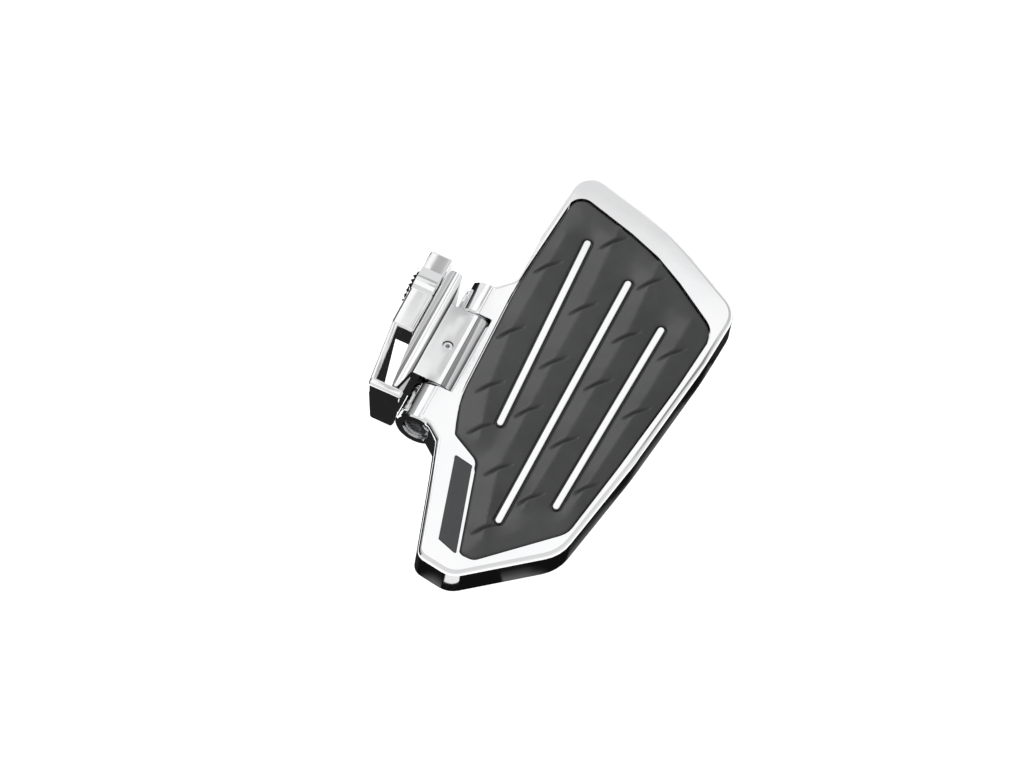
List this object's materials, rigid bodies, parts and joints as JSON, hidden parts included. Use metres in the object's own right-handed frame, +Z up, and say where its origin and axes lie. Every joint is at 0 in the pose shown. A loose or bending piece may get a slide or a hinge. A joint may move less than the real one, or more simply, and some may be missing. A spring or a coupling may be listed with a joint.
{
  "type": "motorcycle passenger footpeg",
  "caption": "Folding chromed passenger floorboard with a slotted rubber pad, a pinned hinge block and a serrated adapter bracket.",
  "frame": {"origin": "on the axis of the serrated clamp ring, in the plane of the clamp face", "axes": "+X along the clamp axis, from the motorcycle outwards; +Y along the board, towards its wide end; +Z up, square to the deck"},
  "size_m": [0.1536, 0.246, 0.035],
  "materials": {
    "chrome": "polished",
    "rubber": "matte",
    "badge_grey": "satin",
    "steel": "satin",
    "bronze": "satin"
  },
  "bodies": {
    "mount": {"adapter_bracket": "chrome", "hinge_block": "chrome", "clamp_screw": "steel", "clamp_lock_washer": "steel", "hinge_pin": "steel", "hinge_nut": "steel", "lower_thrust_washer": "steel", "upper_thrust_washer": "steel", "grub_screw": "steel"},
    "board": {"board_casting": "chrome", "lower_bush": "bronze", "upper_bush": "bronze", "rubber_pad": "rubber", "pad_plate": "steel", "badge_plate": "badge_grey", "pad_nut_1": "steel", "pad_nut_2": "steel", "pad_nut_3": "steel", "pad_nut_4": "steel", "pad_washer_1": "steel", "pad_washer_2": "steel", "pad_washer_3": "steel", "pad_washer_4": "steel"}
  },
  "joints": [
    {"name": "fold", "type": "hinge", "parent": "mount", "child": "board", "pos_m": [0.0375, -0.029, 0.0045], "axis": [0, -1, 0], "range_deg": [0, 62]}
  ]
}
